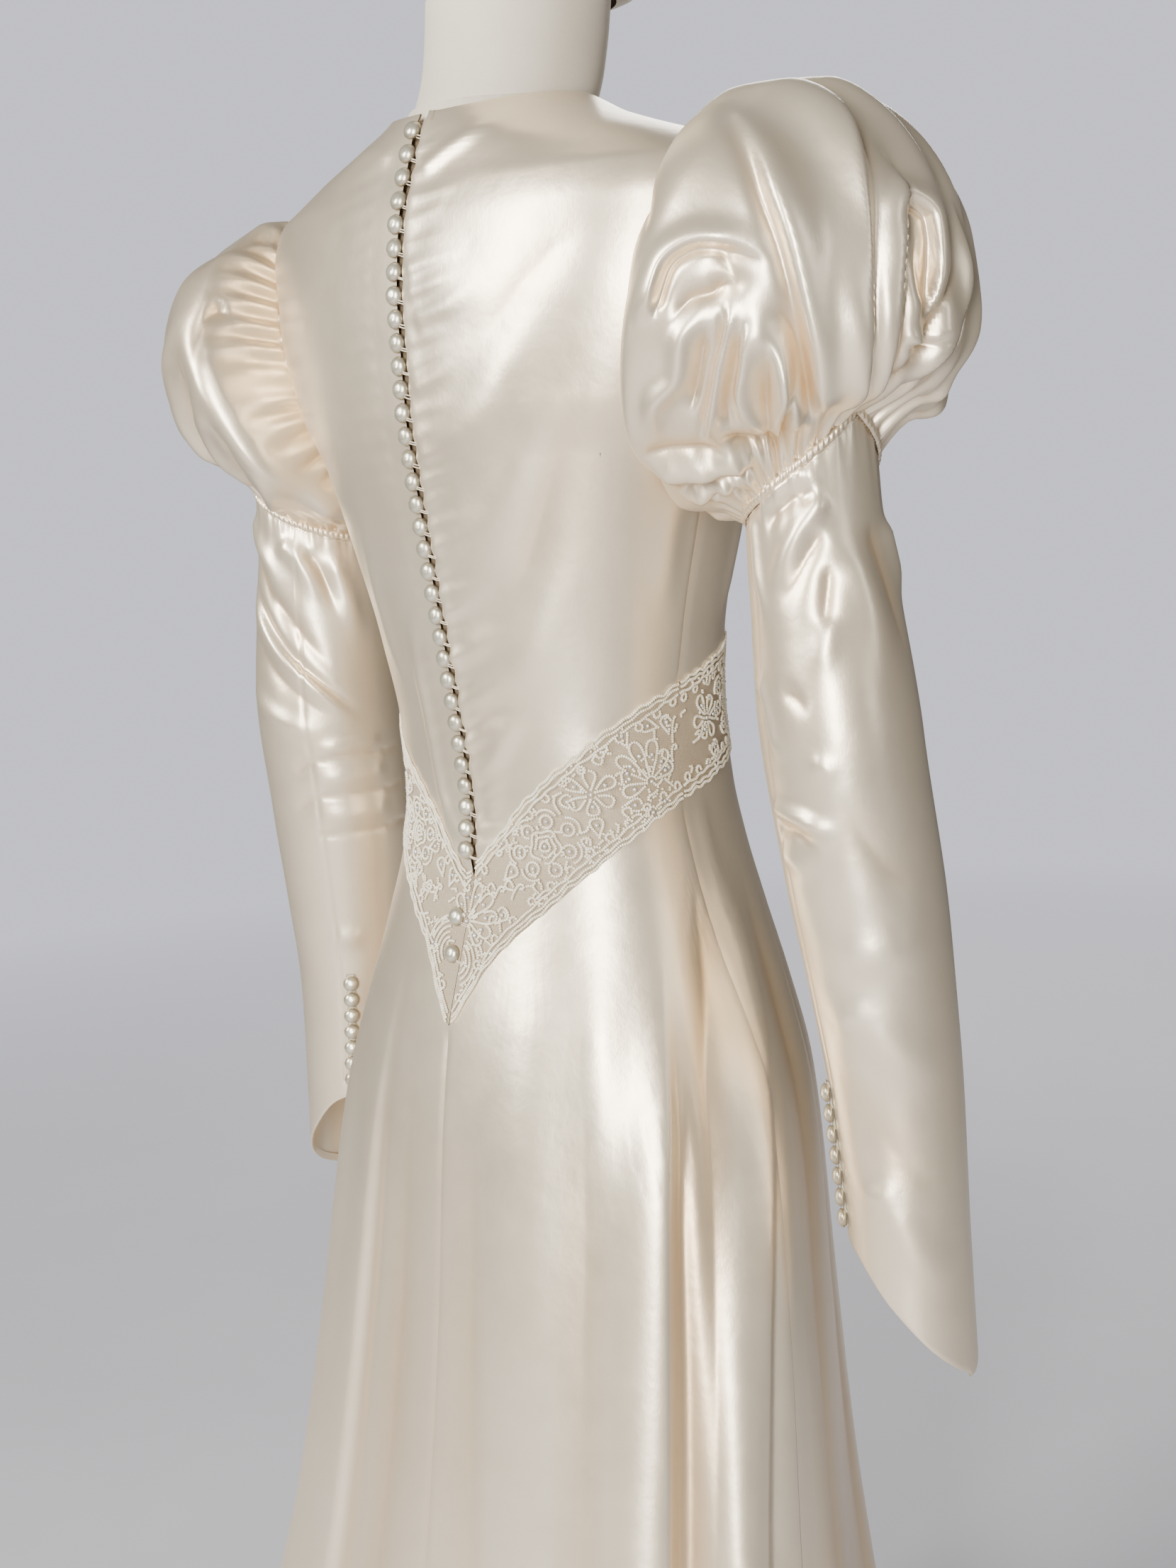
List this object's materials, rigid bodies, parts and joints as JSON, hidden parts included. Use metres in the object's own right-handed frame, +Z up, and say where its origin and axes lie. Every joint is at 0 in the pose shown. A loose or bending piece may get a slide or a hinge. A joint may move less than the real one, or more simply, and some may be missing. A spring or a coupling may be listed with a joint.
{
  "type": "wedding dress on dress form",
  "caption": "Long sleeved satin wedding dress with puffed upper sleeves, buttoned back, V shaped beaded net band and flared skirt, worn by a limbless dress form on a stand.",
  "frame": {"origin": "centre of the stand's flat underside, on the floor", "axes": "+Z up, the gown's front faces -Y, the wearer's left is at +X"},
  "size_m": [0.6737, 0.4925, 1.746],
  "materials": {
    "satin": "ivory silk satin with a soft sheen",
    "beaded_net": "ivory net with bead embroidery",
    "covered_buttons": "satin covered",
    "form_linen": "pale linen over the form",
    "stand_metal": "pale painted steel"
  },
  "bodies": {
    "root": {"bodice_back_left": "satin", "bodice_back_right": "satin", "bodice_front": "satin", "band_back_left": "beaded_net", "band_back_right": "beaded_net", "band_front": "beaded_net", "skirt_back_left": "satin", "skirt_back_right": "satin", "skirt_front": "satin", "puff_left": "satin", "puff_right": "satin", "gather_cord_left": "satin", "gather_cord_right": "satin", "sleeve_left": "satin", "sleeve_right": "satin", "loop_tape": "satin", "cuff_buttons_left": "covered_buttons", "cuff_buttons_right": "covered_buttons", "back_button_01": "covered_buttons", "back_button_02": "covered_buttons", "back_button_03": "covered_buttons", "back_button_04": "covered_buttons", "back_button_05": "covered_buttons", "back_button_06": "covered_buttons", "back_button_07": "covered_buttons", "back_button_08": "covered_buttons", "back_button_09": "covered_buttons", "back_button_10": "covered_buttons", "back_button_11": "covered_buttons", "back_button_12": "covered_buttons", "back_button_13": "covered_buttons", "back_button_14": "covered_buttons", "back_button_15": "covered_buttons", "back_button_16": "covered_buttons", "back_button_17": "covered_buttons", "back_button_18": "covered_buttons", "back_button_19": "covered_buttons", "back_button_20": "covered_buttons", "back_button_21": "covered_buttons", "back_button_22": "covered_buttons", "back_button_23": "covered_buttons", "back_button_24": "covered_buttons", "back_button_25": "covered_buttons", "back_button_26": "covered_buttons", "back_button_27": "covered_buttons", "back_button_28": "covered_buttons", "back_button_29": "covered_buttons", "back_button_30": "covered_buttons", "back_button_31": "covered_buttons", "back_button_32": "covered_buttons", "back_button_33": "covered_buttons", "back_button_34": "covered_buttons", "back_button_35": "covered_buttons", "form_torso": "form_linen", "form_neck": "form_linen", "form_head": "form_linen", "stand_pole": "stand_metal", "stand_base": "stand_metal"}
  },
  "joints": []
}
